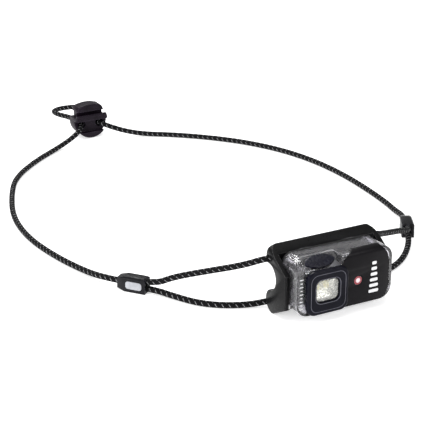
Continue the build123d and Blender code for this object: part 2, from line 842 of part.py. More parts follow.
# ---- cord lock ---------------------------------------------------------------------------------
room_mid_y = (lock_room_y0 + lock_room_y1) / 2
with BuildPart() as lock_barrel:
    with BuildSketch(front_plane(lock_y1)):
        with Locations((lock_x, lock_r)):
            Circle(lock_r)
        with Locations((lock_x, lock_h / 2)):
            Rectangle(2 * lock_r, lock_h, mode=Mode.INTERSECT)
    extrude(amount=lock_depth)
    chamfer(lock_barrel.faces().sort_by(Axis.Y)[0].outer_wire().edges(), lock_edge)
    chamfer(lock_barrel.faces().sort_by(Axis.Y)[-1].outer_wire().edges(), lock_edge)
    # the shoulders below the button, behind the front rim
    with Locations((lock_x, lock_y1, lock_h)):
        shoulder = (2 * lock_r, 2 * (lock_depth - lock_rim_t), 2 * (lock_h - lock_shoulder_z))
        Box(*shoulder, mode=Mode.SUBTRACT)
    # the scoop that the cords run in through
    with Locations((lock_x, lock_y0, (lock_scoop_z0 + lock_scoop_z1) / 2)):
        Box(2 * lock_r, 2 * lock_scoop, lock_scoop_z1 - lock_scoop_z0, mode=Mode.SUBTRACT)
    # the room for the plunger, open on top
    with BuildSketch(front_plane(lock_room_y1)):
        with Locations((lock_x, lock_r)):
            Circle(lock_room_r)
        with Locations((lock_x, lock_r + lock_r)):
            Rectangle(2 * lock_room_r, 2 * lock_r)
        with Locations((lock_x, lock_floor + lock_h)):
            Rectangle(2 * lock_room_hw, 2 * lock_h, mode=Mode.INTERSECT)
    extrude(amount=lock_room_t, mode=Mode.SUBTRACT)
    # cord mouths in front of the room and bores behind it
    with BuildSketch(front_plane(lock_room_y0)):
        with Locations((left_bore_x, lock_bore_z), (right_bore_x, lock_bore_z)):
            Circle(cord_r + lock_mouth_play)
    extrude(amount=lock_web, mode=Mode.SUBTRACT)
    with BuildSketch(front_plane(lock_y1)):
        with Locations((left_bore_x, lock_bore_z), (right_bore_x, lock_bore_z)):
            Circle(cord_r + lock_bore_play)
    extrude(amount=lock_y1 - lock_room_y1, mode=Mode.SUBTRACT)
finish("lock_barrel", lock_barrel)

plunger_y1 = lock_room_y1 - plunger_play
plunger_t = lock_room_t - 2 * plunger_play
plunger_hw = lock_room_hw - plunger_play
window_mid_z = (window_z0 + window_z1) / 2
with BuildPart() as lock_button:
    with BuildSketch(front_plane(plunger_y1)):
        with Locations((lock_x, lock_r + plunger_press)):
            Circle(lock_room_r - plunger_play)
        with Locations((lock_x, lock_r + plunger_press + lock_r)):
            Rectangle(2 * lock_room_r, 2 * lock_r)
        with Locations((lock_x, (plunger_z0 + cap_z0 + cap_soft) / 2)):
            Rectangle(2 * plunger_hw, cap_z0 + cap_soft - plunger_z0, mode=Mode.INTERSECT)
        with Locations((left_bore_x, window_mid_z), (right_bore_x, window_mid_z)):
            RectangleRounded(2 * window_hw, window_z1 - window_z0, window_hw / 2, mode=Mode.SUBTRACT)
    extrude(amount=plunger_t)
    with Locations((lock_x, room_mid_y, spring_top_z)):
        bore_r = spring_r + spring_wire_r + spring_play
        hang = (Align.CENTER, Align.CENTER, Align.MAX)
        Cylinder(bore_r, spring_top_z - plunger_z0, align=hang, mode=Mode.SUBTRACT)
    # the cap that a finger presses carries on the round outline of the barrel
    with BuildSketch(front_plane(room_mid_y + cap_t / 2)):
        with BuildLine():
            Polyline(
                (lock_x - cap_top_hw, cap_z0 + cap_side_h),
                (lock_x - cap_hw, cap_z0),
                (lock_x + cap_hw, cap_z0),
                (lock_x + cap_top_hw, cap_z0 + cap_side_h),
            )
            ThreePointArc(
                (lock_x + cap_top_hw, cap_z0 + cap_side_h),
                (lock_x, cap_z0 + cap_h),
                (lock_x - cap_top_hw, cap_z0 + cap_side_h),
            )
        make_face()
    extrude(amount=cap_t)
    fillet(lock_button.faces().sort_by(Axis.Z)[-1].edges(), cap_soft)
finish("lock_button", lock_button)

spring_z0 = lock_floor + spring_wire_r
spring_h = spring_top_z - 2 * spring_wire_r - lock_floor
with BuildPart() as lock_spring:
    with BuildLine():
        coil = Helix(spring_h / spring_turns, spring_h, spring_r, center=(lock_x, room_mid_y, spring_z0))
    with BuildSketch(Plane(origin=coil @ 0, z_dir=coil % 0)):
        Circle(spring_wire_r)
    sweep(is_frenet=True)
finish("lock_spring", lock_spring)

# ---- cords -------------------------------------------------------------------------------------
limp_radius = 3 * cord_d


def cord_tube(name, points):
    """A round cord of straight runs joined by arcs as large as the runs allow, and its length."""
    points = [Vector(*point) for point in points]
    radii = []
    for before, corner, after in zip(points, points[1:], points[2:]):
        run_in = corner - before
        run_out = after - corner
        half_turn = radians(run_in.get_angle(run_out)) / 2
        radii.append(0.45 * min(run_in.length, run_out.length) / tan(half_turn))
    with BuildPart() as tube:
        with BuildLine() as route:
            FilletPolyline(*points, radius=radii)
        with BuildSketch(Plane(origin=points[0], z_dir=points[1] - points[0])):
            Circle(cord_r)
        sweep()
    length = sum(edge.length for edge in route.edges())
    section = pi * cord_r**2
    print(f"{name}: length {length:.1f}, smallest radius {min(radii):.1f} (limp cord {limp_radius:.1f}),",
          f"volume / (section x length) {tube.part.volume / (section * length):.4f}")
    finish(name, tube)


def yoke_point(side, along, height):
    """A point inside or beyond a yoke, measured from its strand end."""
    place = yokes[side]
    return place["foot"] + place["ahead"].normalized() * along + Vector(0, 0, height)


strand_between = {
    ("upper", "left"): [(-mouth_out, 9.45, 22.6), (-left_turn, 16.6, 18.2),
                        (-42.5, 29.0, 12.9), (-51.3, 38.6, 8.6)],
    ("lower", "left"): [(-20.6, 11.9, 2.65), (-28.5, 14.6, cord_r), (-38.6, 18.8, cord_r),
                        (-46.8, 26.0, cord_r), (-52.2, 36.2, cord_r)],
    ("upper", "right"): [(mouth_out, 9.45, 22.6), (right_turn, 16.6, 18.4),
                         (46.0, 26.4, 13.1), (57.0, 34.6, 8.7)],
    ("lower", "right"): [(20.6, 11.9, 2.65), (28.8, 14.0, cord_r), (39.0, 16.6, cord_r),
                         (48.5, 21.6, cord_r), (58.0, 30.4, cord_r)],
}
strand_heights = {"upper": strand_high_z, "lower": strand_low_z}
for (level, side), between in strand_between.items():
    mouth, stop = stop_line(level, side)
    height = strand_heights[level]
    entry = yoke_point(side, -yoke_run_in, height)
    end = yoke_point(side, yoke_socket_l - grip_play, height)
    cord_tube(f"strand_{level}_{side}", [stop, *between, entry, end])

band_between = [
    (-73.3, 75.2, cord_r), (-78.4, 96.0, cord_r), (-80.9, 121.0, cord_r),
    (-77.6, 147.0, cord_r), (-67.5, 174.0, cord_r), (-57.5, 193.5, cord_r), (-40.0, 210.5, cord_r),
    (-24.0, 222.0, cord_r), (-14.2, 226.6, 3.2), (-8.0, 229.4, 5.6),
    (-4.0, 234.6, 6.9), (-4.0, 242.0, 7.2), (-4.3, 249.5, 7.2), (-7.6, 256.5, 7.0),
    (-7.6, 264.8, 6.3), (-2.56, 269.8, 5.6), (4.56, 269.8, 5.6), (9.6, 264.8, 6.3),
    (9.6, 256.5, 7.0), (6.3, 249.5, 7.2), (6.0, 242.0, 7.2), (6.0, 234.6, 6.9),
    (10.0, 229.4, 5.6), (16.2, 226.6, 3.2),
    (25.2, 222.0, cord_r), (38.5, 213.2, cord_r), (53.0, 200.2, cord_r), (66.0, 184.5, cord_r),
    (75.8, 166.0, cord_r), (81.8, 145.0, cord_r), (84.0, 121.0, cord_r), (83.0, 98.0, cord_r),
    (81.2, 80.5, cord_r), (79.0, 69.5, cord_r),
]
band_ends = {}
for side in yokes:
    inside = yoke_point(side, yoke_web + grip_play, band_z)
    outside = yoke_point(side, yoke_l + yoke_run_out, band_z)
    band_ends[side] = [inside, outside]
cord_tube("headband_cord", [*band_ends["left"], *band_between, *reversed(band_ends["right"])])
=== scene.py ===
import json
from math import cos, pi, radians, sin

import bmesh
import bpy
from mathutils import Matrix, Vector


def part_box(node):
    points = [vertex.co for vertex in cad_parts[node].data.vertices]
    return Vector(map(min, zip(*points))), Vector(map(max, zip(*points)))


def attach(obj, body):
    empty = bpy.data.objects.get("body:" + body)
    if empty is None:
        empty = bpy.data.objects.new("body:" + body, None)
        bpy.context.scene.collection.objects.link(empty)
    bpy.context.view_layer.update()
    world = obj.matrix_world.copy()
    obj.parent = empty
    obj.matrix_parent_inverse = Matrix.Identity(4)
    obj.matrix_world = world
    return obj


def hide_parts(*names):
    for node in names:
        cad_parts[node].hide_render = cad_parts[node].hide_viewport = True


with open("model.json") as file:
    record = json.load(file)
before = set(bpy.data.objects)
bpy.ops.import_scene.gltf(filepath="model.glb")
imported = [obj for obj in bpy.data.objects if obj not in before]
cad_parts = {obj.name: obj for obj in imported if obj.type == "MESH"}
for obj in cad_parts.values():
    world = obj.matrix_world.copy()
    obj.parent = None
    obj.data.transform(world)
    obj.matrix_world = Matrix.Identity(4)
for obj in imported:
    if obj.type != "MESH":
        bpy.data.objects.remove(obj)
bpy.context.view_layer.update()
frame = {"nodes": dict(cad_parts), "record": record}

# The looks of a pocket headlamp: braided cords, a clear lamp case in a black cradle, two cord yokes
# and a cord lock. Lengths are in metres, and MM turns millimetres into them. The routes of the cords
# and the runs inside the yokes are in plain millimetres.
MM = 0.001
CORD_D = 2.6 * MM
UP = Vector((0, 0, 1))
BODY_OF = {node: body for body, nodes in frame["record"]["behaviour"]["bodies"].items() for node in nodes}


# ---- small helpers -------------------------------------------------------------------------------
def new_object(name, data):
    """An object in the scene that shows the data."""
    made = bpy.data.objects.new(name, data)
    bpy.context.scene.collection.objects.link(made)
    return made


def settled_mesh(piece):
    """The mesh that a piece's curve or modifiers come to."""
    bpy.context.view_layer.update()
    return bpy.data.meshes.new_from_object(piece.evaluated_get(bpy.context.evaluated_depsgraph_get()))


def front_of(name):
    """A CAD node seen from the front: the x and z of its middle, its width and its height."""
    low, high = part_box(name)
    return (low.x + high.x) / 2, (low.z + high.z) / 2, high.x - low.x, high.z - low.z


# ---- camera, light and floor ---------------------------------------------------------------------
ROOM_LIGHT = 0.4
FLOOR_SIZE = 8
FLOOR_GLOW = 0.55
# each softbox's name, place, the point that it faces, its two sides and its power in watts
SOFTBOXES = (
    ("top_softbox", (0, 0.12, 1.1), (0, 0.1, 0), (1.3, 1.1), 5.0),
    ("left_strip", (-0.55, -0.02, 0.22), (0, 0.0, 0.014), (0.08, 0.3), 1.6),
    ("back_strip", (-0.05, 0.62, 0.5), (0, 0.0, 0.02), (0.6, 0.1), 2.6),
    ("front_strip", (0.3, -0.62, 0.5), (0, 0, 0.012), (0.4, 0.07), 1.5),
)


def add_camera():
    """The product shot: from the lamp's left front, a little above, with a long lens."""
    place = (-0.3044, -0.45855, 0.2619)
    turn, lift, tilt = radians(-28.6), radians(22.0), radians(-0.04)
    sensor_mm, lens_mm = 36, 128.922
    back = Vector((sin(turn) * cos(lift), -cos(turn) * cos(lift), sin(lift)))
    right = Vector((cos(turn), sin(turn), 0))
    up = back.cross(right)
    level_right = right * cos(tilt) + up * sin(tilt)
    level_up = up * cos(tilt) - right * sin(tilt)
    data = bpy.data.cameras.new("product_camera")
    data.sensor_width = sensor_mm
    data.lens = lens_mm
    data.clip_start = 0.01
    camera = new_object("product_camera", data)
    axes = Matrix((level_right, level_up, back)).transposed().to_4x4()
    camera.matrix_world = Matrix.Translation(place) @ axes
    bpy.context.scene.camera = camera


def add_softbox(name, place, target, sides, power):
    """A rectangular area light at place that faces target."""
    data = bpy.data.lights.new(name, "AREA")
    data.shape = "RECTANGLE"
    data.size, data.size_y = sides
    data.energy = power
    light = new_object(name, data)
    light.location = place
    light.rotation_euler = (Vector(target) - Vector(place)).to_track_quat("-Z", "Y").to_euler()


def add_studio():
    """A wide pale floor, a white room, one large softbox above and three narrow ones."""
    world = bpy.data.worlds.new("white_room")
    world.use_nodes = True
    world.node_tree.nodes["Background"].inputs["Color"].default_value = (1.0, 1.0, 1.0, 1)
    world.node_tree.nodes["Background"].inputs["Strength"].default_value = ROOM_LIGHT
    bpy.context.scene.world = world
    bpy.context.scene.view_settings.view_transform = "Standard"
    for name, place, target, sides, power in SOFTBOXES:
        add_softbox(name, place, target, sides, power)
    bpy.ops.mesh.primitive_plane_add(size=FLOOR_SIZE, location=(0, 0, 0))
    floor = bpy.context.object
    floor.name = "studio_floor"
    floor.data.materials.append(floor_paint())


# ---- material kit --------------------------------------------------------------------------------
NOISE_LOW, NOISE_HIGH = 0.25, 0.75


def new_material(name):
    """A new material, its node tree and its Principled shader."""
    material = bpy.data.materials.new(name)
    material.use_nodes = True
    tree = material.node_tree
    shader = tree.nodes["Principled BSDF"]
    return material, tree, shader


def node(tree, kind, **settings):
    """A node of that kind; each setting sets the node's property of that name, or else its input."""
    made = tree.nodes.new(kind)
    for key, value in settings.items():
        if hasattr(made, key):
            setattr(made, key, value)
        else:
            made.inputs[key.replace("_", " ")].default_value = value
    return made


def object_coordinates(tree):
    """The piece's own coordinates, in metres."""
    return tree.nodes.new("ShaderNodeTexCoord").outputs["Object"]


def noise(tree, coordinates, per_mm, detail=3.0, roughness=0.55):
    """Noise with per_mm blobs to the millimetre."""
    made = node(tree, "ShaderNodeTexNoise", Scale=per_mm / MM, Detail=detail, Roughness=roughness)
    tree.links.new(coordinates, made.inputs["Vector"])
    return made.outputs["Fac"]


def spread(tree, value, low, high):
    """Maps a noise's usual span, NOISE_LOW to NOISE_HIGH, to low to high, and stops at both ends."""
    made = tree.nodes.new("ShaderNodeMapRange")
    made.inputs["From Min"].default_value = NOISE_LOW
    made.inputs["From Max"].default_value = NOISE_HIGH
    made.inputs["To Min"].default_value = low
    made.inputs["To Max"].default_value = high
    tree.links.new(value, made.inputs["Value"])
    return made.outputs["Result"]


def cloud(tree, coordinates, per_mm, detail=3.0):
    """Noise spread from 0 to 1, which mixes two close colours."""
    return spread(tree, noise(tree, coordinates, per_mm, detail=detail), 0.0, 1.0)


def blend_colours(tree, factor, first, second):
    """Mixes two colours, each a value or another node's output."""
    made = tree.nodes.new("ShaderNodeMix")
    made.data_type = "RGBA"
    tree.links.new(factor, made.inputs["Factor"])
    for socket, colour in (("A", first), ("B", second)):
        target = [one for one in made.inputs if one.name == socket and one.type == "RGBA"][0]
        if isinstance(colour, bpy.types.NodeSocket):
            tree.links.new(colour, target)
        else:
            target.default_value = (*colour, 1)
    return [one for one in made.outputs if one.type == "RGBA"][0]


def maths(tree, operation, *values):
    """One Math node on sockets or numbers."""
    made = tree.nodes.new("ShaderNodeMath")
    made.operation = operation
    for place, value in enumerate(values):
        if isinstance(value, bpy.types.NodeSocket):
            tree.links.new(value, made.inputs[place])
        else:
            made.inputs[place].default_value = value
    return made.outputs["Value"]


def add_bump(tree, shader, height, depth, strength=1.0):
    """Bump of that depth in metres."""
    made = node(tree, "ShaderNodeBump", Strength=strength, Distance=depth)
    tree.links.new(height, made.inputs["Height"])
    tree.links.new(made.outputs["Normal"], shader.inputs["Normal"])


def edge_highlight_mask(tree, size):
    """Mask for a painted highlight on sharp edges: 0 on flat faces and more near a sharp edge, from how far
    a rounded normal leaves the true one.
    """
    bevel = tree.nodes.new("ShaderNodeBevel")
    bevel.inputs["Radius"].default_value = size
    geometry = tree.nodes.new("ShaderNodeNewGeometry")
    dot = tree.nodes.new("ShaderNodeVectorMath")
    dot.operation = "DOT_PRODUCT"
    tree.links.new(bevel.outputs["Normal"], dot.inputs[0])
    tree.links.new(geometry.outputs["Normal"], dot.inputs[1])
    return maths(tree, "SUBTRACT", 1.0, dot.outputs["Value"])


# ---- finishes ------------------------------------------------------------------------------------
# width and strength of the painted highlight on sharp edges
EDGE_HIGHLIGHT_WIDTH = 0.35 * MM
EDGE_HIGHLIGHT_GAIN = 6.0
CLEAR_IOR = 1.49
RED_REACH = 2.0 * MM
# the red light's colours from its centre out, each with its share of RED_REACH
RED_RINGS = (
    (0.0, (0.98, 0.86, 0.88)), (0.42, (0.95, 0.60, 0.64)), (0.56, (0.06, 0.01, 0.015)),
    (0.70, (0.36, 0.012, 0.03)), (0.84, (0.26, 0.01, 0.02)), (0.92, (0.008, 0.006, 0.008)),
)
# the tracer yarn's flecks: mm from one to the next along a row, rows round the cord, how far each
# row lags the one before, the slant, and half the width and length of a fleck as shares of its field
TRACER_PITCH = 2.7
TRACER_ROWS = 4
TRACER_LAG = 0.37
TRACER_SLANT = 2.0
TRACER_HALF_WIDTH = 0.11
TRACER_HALF_LENGTH = 0.17


def floor_paint():
    """Matt near-white, which glows a little so that it stays pale."""
    material, tree, shader = new_material("floor_paint")
    tone = cloud(tree, object_coordinates(tree), 0.02)
    colour = blend_colours(tree, tone, (0.93, 0.93, 0.93), (0.95, 0.95, 0.95))
    tree.links.new(colour, shader.inputs["Base Color"])
    shader.inputs["Roughness"].default_value = 0.9
    shader.inputs["Specular IOR Level"].default_value = 0.1
    shader.inputs["Emission Color"].default_value = (1.0, 1.0, 1.0, 1)
    shader.inputs["Emission Strength"].default_value = FLOOR_GLOW
    return material


def moulded_plastic(name, dark, light, roughness, grain=9.0, depth=0.012 * MM, edge=None, shine=0.10):
    """Spark-eroded plastic: fine grain, cloudy colour and handling marks; edge is the colour of a painted
    highlight, laid in patches along sharp edges.
    """
    material, tree, shader = new_material(name)
    place = object_coordinates(tree)
    colour = blend_colours(tree, cloud(tree, place, 0.25), dark, light)
    # painted highlight: sharp edges are lightened towards the edge colour, in patches
    if edge:
        wear_and_highlight = maths(tree, "MULTIPLY", edge_highlight_mask(tree, EDGE_HIGHLIGHT_WIDTH), EDGE_HIGHLIGHT_GAIN)
        patchy_highlight = maths(tree, "MULTIPLY", wear_and_highlight, noise(tree, place, 1.2))
        highlight_limit = maths(tree, "MINIMUM", patchy_highlight, 1.0)
        colour = blend_colours(tree, highlight_limit, colour, edge)
    tree.links.new(colour, shader.inputs["Base Color"])
    marks = noise(tree, place, 0.9, detail=6.0)
    tree.links.new(spread(tree, marks, roughness - 0.06, roughness + 0.08), shader.inputs["Roughness"])
    add_bump(tree, shader, noise(tree, place, grain, detail=2.0), depth)
    shader.inputs["Specular IOR Level"].default_value = shine
    return material


def clear_plastic():
    """Clear moulded case: smooth, a little smoky, with faint flow lines."""
    material, tree, shader = new_material("clear_case_plastic")
    place = object_coordinates(tree)
    colour = blend_colours(tree, cloud(tree, place, 0.3), (0.84, 0.83, 0.88), (0.96, 0.95, 0.98))
    tree.links.new(colour, shader.inputs["Base Color"])
    stretch = node(tree, "ShaderNodeMapping")
    stretch.inputs["Scale"].default_value = (0.04, 1, 1)
    tree.links.new(place, stretch.inputs["Vector"])
    flow = noise(tree, stretch.outputs["Vector"], 1.3, detail=2.0)
    tree.links.new(spread(tree, flow, 0.998, 0.93), shader.inputs["Transmission Weight"])
    shader.inputs["IOR"].default_value = CLEAR_IOR
    marks = noise(tree, place, 0.8, detail=5.0)
    tree.links.new(spread(tree, marks, 0.03, 0.10), shader.inputs["Roughness"])
    add_bump(tree, shader, flow, 0.16 * MM, 0.5)
    return material


def dimpled_lens():
    """The beam lens: clear with a field of tiny dimples that spread the light."""
    material, tree, shader = new_material("dimpled_lens_plastic")
    place = object_coordinates(tree)
    cells = node(tree, "ShaderNodeTexVoronoi", Scale=1.1 / MM)
    tree.links.new(place, cells.inputs["Vector"])
    colour = blend_colours(tree, cloud(tree, place, 0.7), (0.95, 0.95, 0.90), (1.0, 1.0, 0.97))
    tree.links.new(colour, shader.inputs["Base Color"])
    shader.inputs["Transmission Weight"].default_value = 0.75
    shader.inputs["IOR"].default_value = CLEAR_IOR
    tree.links.new(spread(tree, cells.outputs["Distance"], 0.12, 0.3), shader.inputs["Roughness"])
    add_bump(tree, shader, cells.outputs["Distance"], 0.12 * MM, 0.8)
    return material


def glowing_die():
    """Phosphor on the light-emitting dies: uneven warm yellow with a faint glow."""
    material, tree, shader = new_material("phosphor")
    grain = cloud(tree, object_coordinates(tree), 3.0)
    colour = blend_colours(tree, grain, (0.85, 0.72, 0.22), (0.98, 0.90, 0.50))
    tree.links.new(colour, shader.inputs["Base Color"])
    shader.inputs["Roughness"].default_value = 0.35
    tree.links.new(colour, shader.inputs["Emission Color"])
    shader.inputs["Emission Strength"].default_value = 0.35
    return material


def bare_metal(name, dark, light, roughness, streak=4.0):
    """Plated or drawn metal, a little uneven in colour and shine."""
    material, tree, shader = new_material(name)
    place = object_coordinates(tree)
    colour = blend_colours(tree, cloud(tree, place, streak, detail=4.0), dark, light)
    tree.links.new(colour, shader.inputs["Base Color"])
    shader.inputs["Metallic"].default_value = 1.0
    shine = spread(tree, noise(tree, place, 1.5), roughness - 0.05, roughness + 0.1)
    tree.links.new(shine, shader.inputs["Roughness"])
    add_bump(tree, shader, noise(tree, place, streak * 2), 0.004 * MM)
    return material


def red_signal(centre_x, centre_z):
    """The red signal light: a pale dome, a red ring and a dark rim, about its own centre."""
    material, tree, shader = new_material("red_signal_plastic")
    shift = node(tree, "ShaderNodeMapping")
    shift.inputs["Location"].default_value = (-centre_x, 0, -centre_z)
    tree.links.new(object_coordinates(tree), shift.inputs["Vector"])
    split = tree.nodes.new("ShaderNodeSeparateXYZ")
    tree.links.new(shift.outputs["Vector"], split.inputs["Vector"])
    square_x = maths(tree, "POWER", split.outputs["X"], 2.0)
    square_z = maths(tree, "POWER", split.outputs["Z"], 2.0)
    distance = maths(tree, "SQRT", maths(tree, "ADD", square_x, square_z))
    ramp = tree.nodes.new("ShaderNodeValToRGB")
    while len(ramp.color_ramp.elements) < len(RED_RINGS):
        ramp.color_ramp.elements.new(0.5)
    for element, (place, colour) in zip(ramp.color_ramp.elements, RED_RINGS):
        element.position = place
        element.color = (*colour, 1)
    tree.links.new(maths(tree, "DIVIDE", distance, RED_REACH), ramp.inputs["Fac"])
    tree.links.new(ramp.outputs["Color"], shader.inputs["Base Color"])
    shader.inputs["Roughness"].default_value = 0.12
    shader.inputs["Coat Weight"].default_value = 0.6
    tree.links.new(ramp.outputs["Color"], shader.inputs["Emission Color"])
    shader.inputs["Emission Strength"].default_value = 0.08
    return material


def printed_white():
    """White pad-printed ink, a little uneven."""
    material, tree, shader = new_material("printed_white_ink")
    tone = cloud(tree, object_coordinates(tree), 2.0, detail=5.0)
    colour = blend_colours(tree, tone, (0.78, 0.78, 0.80), (0.93, 0.93, 0.94))
    tree.links.new(colour, shader.inputs["Base Color"])
    shader.inputs["Roughness"].default_value = 0.45
    return material


def tracer_flecks(tree):
    """1 on the tracer yarn's short slanted dashes, which come to the top in rows round the cord."""
    coordinates = tree.nodes.new("ShaderNodeUVMap")
    coordinates.uv_map = "cord_map"
    split = tree.nodes.new("ShaderNodeSeparateXYZ")
    tree.links.new(coordinates.outputs["UV"], split.inputs["Vector"])
    along, around = split.outputs["X"], split.outputs["Y"]
    rows = maths(tree, "MULTIPLY", around, float(TRACER_ROWS))
    lag = maths(tree, "MULTIPLY", maths(tree, "FLOOR", rows), TRACER_LAG)
    fields = maths(tree, "ADD", maths(tree, "MULTIPLY", along, 1 / TRACER_PITCH), lag)
    across = maths(tree, "SUBTRACT", maths(tree, "FRACT", rows), 0.5)
    length = maths(tree, "SUBTRACT", maths(tree, "FRACT", fields), 0.5)
    slanted = maths(tree, "MULTIPLY", length, TRACER_SLANT)
    off_line = maths(tree, "ABSOLUTE", maths(tree, "SUBTRACT", across, slanted))
    on_line = maths(tree, "LESS_THAN", off_line, TRACER_HALF_WIDTH)
    in_length = maths(tree, "LESS_THAN", maths(tree, "ABSOLUTE", length), TRACER_HALF_LENGTH)
    return maths(tree, "MULTIPLY", on_line, in_length)


def braided_yarn():
    """Black braid with pale reflective flecks: U runs along the cord in millimetres, V once round."""
    material, tree, shader = new_material("braided_cord_yarn")
    flecks = tracer_flecks(tree)
    fuzz = noise(tree, object_coordinates(tree), 2.2, detail=4.0)
    yarn = blend_colours(tree, spread(tree, fuzz, 0.0, 1.0), (0.003, 0.003, 0.0035), (0.009, 0.009, 0.010))
    # on the cord this share is only uneven wear of the flecks, not a highlight
    wear_and_highlight = spread(tree, noise(tree, object_coordinates(tree), 0.9), 0.35, 1.0)
    shown = maths(tree, "MULTIPLY", flecks, wear_and_highlight)
    tree.links.new(blend_colours(tree, shown, yarn, (0.40, 0.40, 0.41)), shader.inputs["Base Color"])
    tree.links.new(spread(tree, fuzz, 0.6, 0.8), shader.inputs["Roughness"])
    shader.inputs["Specular IOR Level"].default_value = 0.07
    add_bump(tree, shader, noise(tree, object_coordinates(tree), 6.0, detail=2.0), 0.03 * MM, 0.6)
    return material


# ---- cords ---------------------------------------------------------------------------------------
BRAID_SIDES = 24
BRAID_YARNS = 6
BRAID_STEP = 0.3 * MM
BRAID_PITCH = 7.0 * MM
BRAID_DEPTH = 0.13 * MM
NO_LENGTH = 1e-12

# From here to the band's route, everything is in millimetres. A cord's centre line is at LYING_Z
# where it lies on the floor. Each strand starts at a stop in the cradle, given here for the right
# side, and ends inside a yoke; the band runs from one yoke to the other.
LYING_Z = 1.3
UPPER_STOP, LOWER_STOP = (20.1, 7.9, 23.0), (16.07, 8.5, 3.2)
STRAND_ROUTES = {
    "strand_upper_left": [(-26.2, 9.45, 22.6), (-31.8, 16.6, 18.2), (-42.5, 29.0, 12.9), (-51.3, 38.6, 8.6)],
    "strand_lower_left": [(-20.6, 11.9, 2.65), (-28.5, 14.6, LYING_Z), (-38.6, 18.8, LYING_Z),
                          (-46.8, 26.0, LYING_Z), (-52.2, 36.2, LYING_Z)],
    "strand_upper_right": [(26.2, 9.45, 22.6), (33.8, 16.6, 18.4), (46.0, 26.4, 13.1), (57.0, 34.6, 8.7)],
    "strand_lower_right": [(20.6, 11.9, 2.65), (28.8, 14.0, LYING_Z), (39.0, 16.6, LYING_Z),
                           (48.5, 21.6, LYING_Z), (58.0, 30.4, LYING_Z)],
}
# each yoke's strand end on the floor, and the way to its nose
YOKE_FEET = {"left": Vector((-58.9, 47.0, 0)), "right": Vector((67.3, 43.2, 0))}
YOKE_WAYS = {"left": Vector((-0.62, 0.785, 0)).normalized(), "right": Vector((0.48, 0.877, 0)).normalized()}
YOKE_L = 12.8
STRAND_RUN = (-3.6, 4.18)
UPPER_STRAND_Z, LOWER_STRAND_Z = 4.65, 1.85
BAND_RUN = (6.02, 17.8)
BAND_Z = 3.2
BAND_ROUTE = [
    (-73.3, 75.2, LYING_Z), (-78.4, 96.0, LYING_Z), (-80.9, 121.0, LYING_Z), (-77.6, 147.0, LYING_Z),
    (-67.5, 174.0, LYING_Z), (-57.5, 193.5, LYING_Z), (-40.0, 210.5, LYING_Z), (-24.0, 222.0, LYING_Z),
    (-14.2, 226.6, 3.2), (-8.0, 229.4, 5.6), (-4.0, 234.6, 6.9), (-4.0, 242.0, 7.2), (-4.3, 249.5, 7.2),
    (-7.6, 256.5, 7.0), (-7.6, 264.8, 6.3), (-2.56, 269.8, 5.6), (4.56, 269.8, 5.6), (9.6, 264.8, 6.3),
    (9.6, 256.5, 7.0), (6.3, 249.5, 7.2), (6.0, 242.0, 7.2), (6.0, 234.6, 6.9), (10.0, 229.4, 5.6),
    (16.2, 226.6, 3.2), (25.2, 222.0, LYING_Z), (38.5, 213.2, LYING_Z), (53.0, 200.2, LYING_Z),
    (66.0, 184.5, LYING_Z), (75.8, 166.0, LYING_Z), (81.8, 145.0, LYING_Z), (84.0, 121.0, LYING_Z),
    (83.0, 98.0, LYING_Z), (81.2, 80.5, LYING_Z), (79.0, 69.5, LYING_Z),
]


def yoke_points(side, height, *runs):
    """Points at that height on a yoke's axis, each a run ahead of its strand end, in mm."""
    return [tuple(YOKE_FEET[side] + YOKE_WAYS[side] * run + UP * height) for run in runs]


def smooth_line(name, points):
    """Points close together on the NURBS line of a cord's route, which is in mm."""
    data = bpy.data.curves.new(name, "CURVE")
    data.dimensions = "3D"
    data.resolution_u = 24
    spline = data.splines.new("NURBS")
    spline.points.add(len(points) - 1)
    for control, point in zip(spline.points, points):
        control.co = (*(value * MM for value in point), 1)
    spline.order_u = 3
    spline.use_endpoint_u = True
    holder = new_object(name, data)
    mesh = settled_mesh(holder)
    line = [vertex.co.copy() for vertex in mesh.vertices]
    bpy.data.objects.remove(holder)
    bpy.data.meshes.remove(mesh)
    return line


def even_steps(line, step):
    """The same line as points about one step apart, all the same, and its length."""
    lengths = [0.0]
    for before, after in zip(line, line[1:]):
        lengths.append(lengths[-1] + (after - before).length)
    count = max(2, round(lengths[-1] / step))
    points, run = [], 0
    for number in range(count + 1):
        target = lengths[-1] * number / count
        while run < len(lengths) - 2 and lengths[run + 1] < target:
            run += 1
        share = (target - lengths[run]) / max(lengths[run + 1] - lengths[run], NO_LENGTH)
        points.append(line[run].lerp(line[run + 1], share))
    return points, lengths[-1]


def braid_depth(along, angle):
    """How far the braid's surface is below its top, from 0 to 1, where yarns of two helices cross."""
    turn = 2 * pi * along / BRAID_PITCH
    first = cos(BRAID_YARNS * (angle + turn)) * 0.5 + 0.5
    second = cos(BRAID_YARNS * (angle - turn)) * 0.5 + 0.5
    return 1 - max(first, second)


